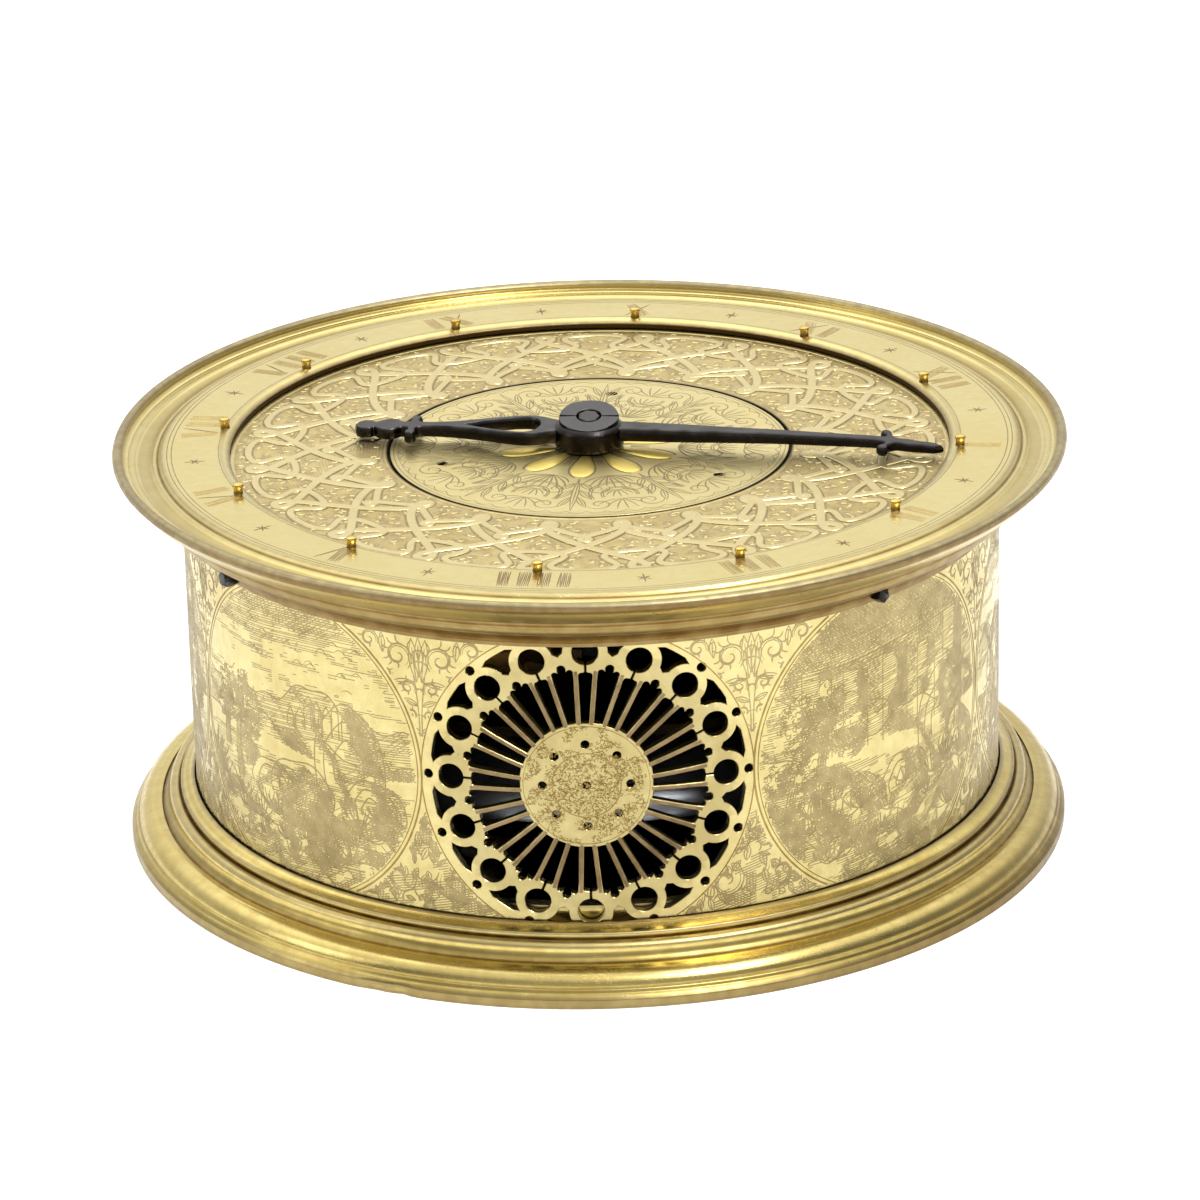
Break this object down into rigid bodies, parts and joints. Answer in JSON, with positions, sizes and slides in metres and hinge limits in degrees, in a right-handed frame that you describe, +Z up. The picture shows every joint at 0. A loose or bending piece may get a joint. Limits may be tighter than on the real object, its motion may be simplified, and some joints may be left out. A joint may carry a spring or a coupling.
{
  "type": "drum clock",
  "caption": "Round horizontal table clock with a moulded rim and base, touch pins at the hours, one hand, a pierced rosette in its drum and a striking movement with a bell inside.",
  "frame": {"origin": "middle of the base ring's underside, where the clock stands", "axes": "+Z up out of the dial; -Y out of the pierced rosette, towards the viewer of the picture; +X to the viewer's right"},
  "size_m": [0.1504, 0.1504, 0.0679],
  "materials": {
    "gilt_brass": "fire-gilt, polished, with brown wear on the ridges",
    "wheel_brass": "filed and stoned",
    "black_steel": "blackened, filed facets with a dull shine",
    "steel": "grey, lightly polished",
    "bell_metal": "turned, grey with age",
    "gut": "twisted gut, dull"
  },
  "bodies": {
    "case": {"base_ring": "gilt_brass", "bottom_cover": "gilt_brass", "drum_band": "gilt_brass", "rim_ring": "gilt_brass", "dial_plate": "gilt_brass", "touch_pin_01": "gilt_brass", "touch_pin_02": "gilt_brass", "touch_pin_03": "gilt_brass", "touch_pin_04": "gilt_brass", "touch_pin_05": "gilt_brass", "touch_pin_06": "gilt_brass", "touch_pin_07": "gilt_brass", "touch_pin_08": "gilt_brass", "touch_pin_09": "gilt_brass", "touch_pin_10": "gilt_brass", "touch_pin_11": "gilt_brass", "touch_pin_12": "gilt_brass", "retaining_pin_1": "black_steel", "retaining_pin_2": "black_steel", "retaining_pin_3": "black_steel", "retaining_pin_4": "black_steel", "lower_plate": "wheel_brass", "top_plate": "wheel_brass", "pillar_1": "steel", "pillar_2": "steel", "pillar_3": "steel", "potence": "wheel_brass", "balance_cock": "wheel_brass", "barrel_arbor": "steel", "gut_line": "gut", "bell": "bell_metal", "bell_post": "steel", "bell_nut": "steel"},
    "hand": {"hour_hand": "black_steel", "hand_cap": "black_steel", "hour_arbor": "steel", "hour_wheel": "wheel_brass"},
    "motion_work": {"motion_pinion": "steel"},
    "alarm": {"alarm_disc": "gilt_brass"},
    "barrel": {"going_barrel": "wheel_brass"},
    "fusee_group": {"fusee": "wheel_brass", "going_great_wheel": "wheel_brass", "fusee_arbor": "steel"},
    "second_group": {"second_arbor": "steel", "second_wheel": "wheel_brass"},
    "contrate_group": {"contrate_arbor": "steel", "contrate_wheel": "wheel_brass"},
    "crown_group": {"crown_arbor": "steel", "crown_wheel": "wheel_brass"},
    "balance": {"balance_wheel": "steel", "verge_staff": "steel"},
    "strike_group": {"strike_great_wheel": "wheel_brass", "strike_barrel": "wheel_brass", "strike_arbor": "steel"},
    "strike_second_group": {"strike_second_arbor": "steel", "strike_second_wheel": "wheel_brass"},
    "air_brake": {"fly": "steel"},
    "count": {"count_wheel": "wheel_brass"},
    "hammer_group": {"hammer": "steel"}
  },
  "joints": [
    {"name": "hand_turn", "type": "hinge", "parent": "case", "child": "hand", "pos_m": [0, 0, 0.0624], "axis": [0, 0, -1], "continuous": true},
    {"name": "motion_pinion_turn", "type": "hinge", "parent": "case", "child": "motion_work", "pos_m": [-0.01736, -0.02068, 0.058], "axis": [0, 0, -1], "continuous": true},
    {"name": "alarm_disc_turn", "type": "hinge", "parent": "case", "child": "alarm", "pos_m": [0, 0, 0.0615], "axis": [0, 0, -1], "continuous": true},
    {"name": "second_turn", "type": "hinge", "parent": "case", "child": "second_group", "pos_m": [0.00294, -0.02807, 0.046], "axis": [0, 0, 1], "continuous": true},
    {"name": "fusee_turn", "type": "hinge", "parent": "case", "child": "fusee_group", "pos_m": [-0.01736, -0.02068, 0.046], "axis": [0, 0, 1], "continuous": true},
    {"name": "barrel_turn", "type": "hinge", "parent": "case", "child": "barrel", "pos_m": [-0.038, 0, 0.046], "axis": [0, 0, 1], "continuous": true},
    {"name": "contrate_turn", "type": "hinge", "parent": "case", "child": "contrate_group", "pos_m": [0.01817, -0.02253, 0.046], "axis": [0, 0, 1], "continuous": true},
    {"name": "crown_turn", "type": "hinge", "parent": "case", "child": "crown_group", "pos_m": [0.01817, -0.02253, 0.04755], "axis": [0.5, 0.866, 0], "continuous": true},
    {"name": "balance_swing", "type": "hinge", "parent": "case", "child": "balance", "pos_m": [0.02917, -0.00348, 0.0348], "axis": [0, 0, 1], "range_deg": [-40, 40]},
    {"name": "strike_second_turn", "type": "hinge", "parent": "case", "child": "strike_second_group", "pos_m": [0.00367, 0.01961, 0.046], "axis": [0, 0, 1], "continuous": true},
    {"name": "strike_great_turn", "type": "hinge", "parent": "case", "child": "strike_group", "pos_m": [0.02397, 0.027, 0.046], "axis": [0, 0, 1], "continuous": true},
    {"name": "fly_turn", "type": "hinge", "parent": "case", "child": "air_brake", "pos_m": [-0.01155, 0.02515, 0.046], "axis": [0, 0, 1], "continuous": true},
    {"name": "count_turn", "type": "hinge", "parent": "case", "child": "count", "pos_m": [0.00624, 0.03012, 0.035], "axis": [0, 0, 1], "continuous": true},
    {"name": "hammer_swing", "type": "hinge", "parent": "case", "child": "hammer_group", "pos_m": [0.01129, 0.05311, 0.04], "axis": [0, 0, -1], "range_deg": [0, 18], "stiffness_Nm_per_rad": 0.01}
  ],
  "couplings": [
    {"joint": "motion_pinion_turn", "follows": "hand_turn", "ratio": -4},
    {"joint": "fusee_turn", "follows": "second_turn", "ratio": -0.2},
    {"joint": "barrel_turn", "follows": "second_turn", "ratio": -0.142},
    {"joint": "contrate_turn", "follows": "second_turn", "ratio": -4},
    {"joint": "crown_turn", "follows": "second_turn", "ratio": -12},
    {"joint": "strike_great_turn", "follows": "strike_second_turn", "ratio": -0.2},
    {"joint": "fly_turn", "follows": "strike_second_turn", "ratio": -4},
    {"joint": "count_turn", "follows": "strike_second_turn", "ratio": 0.04}
  ]
}
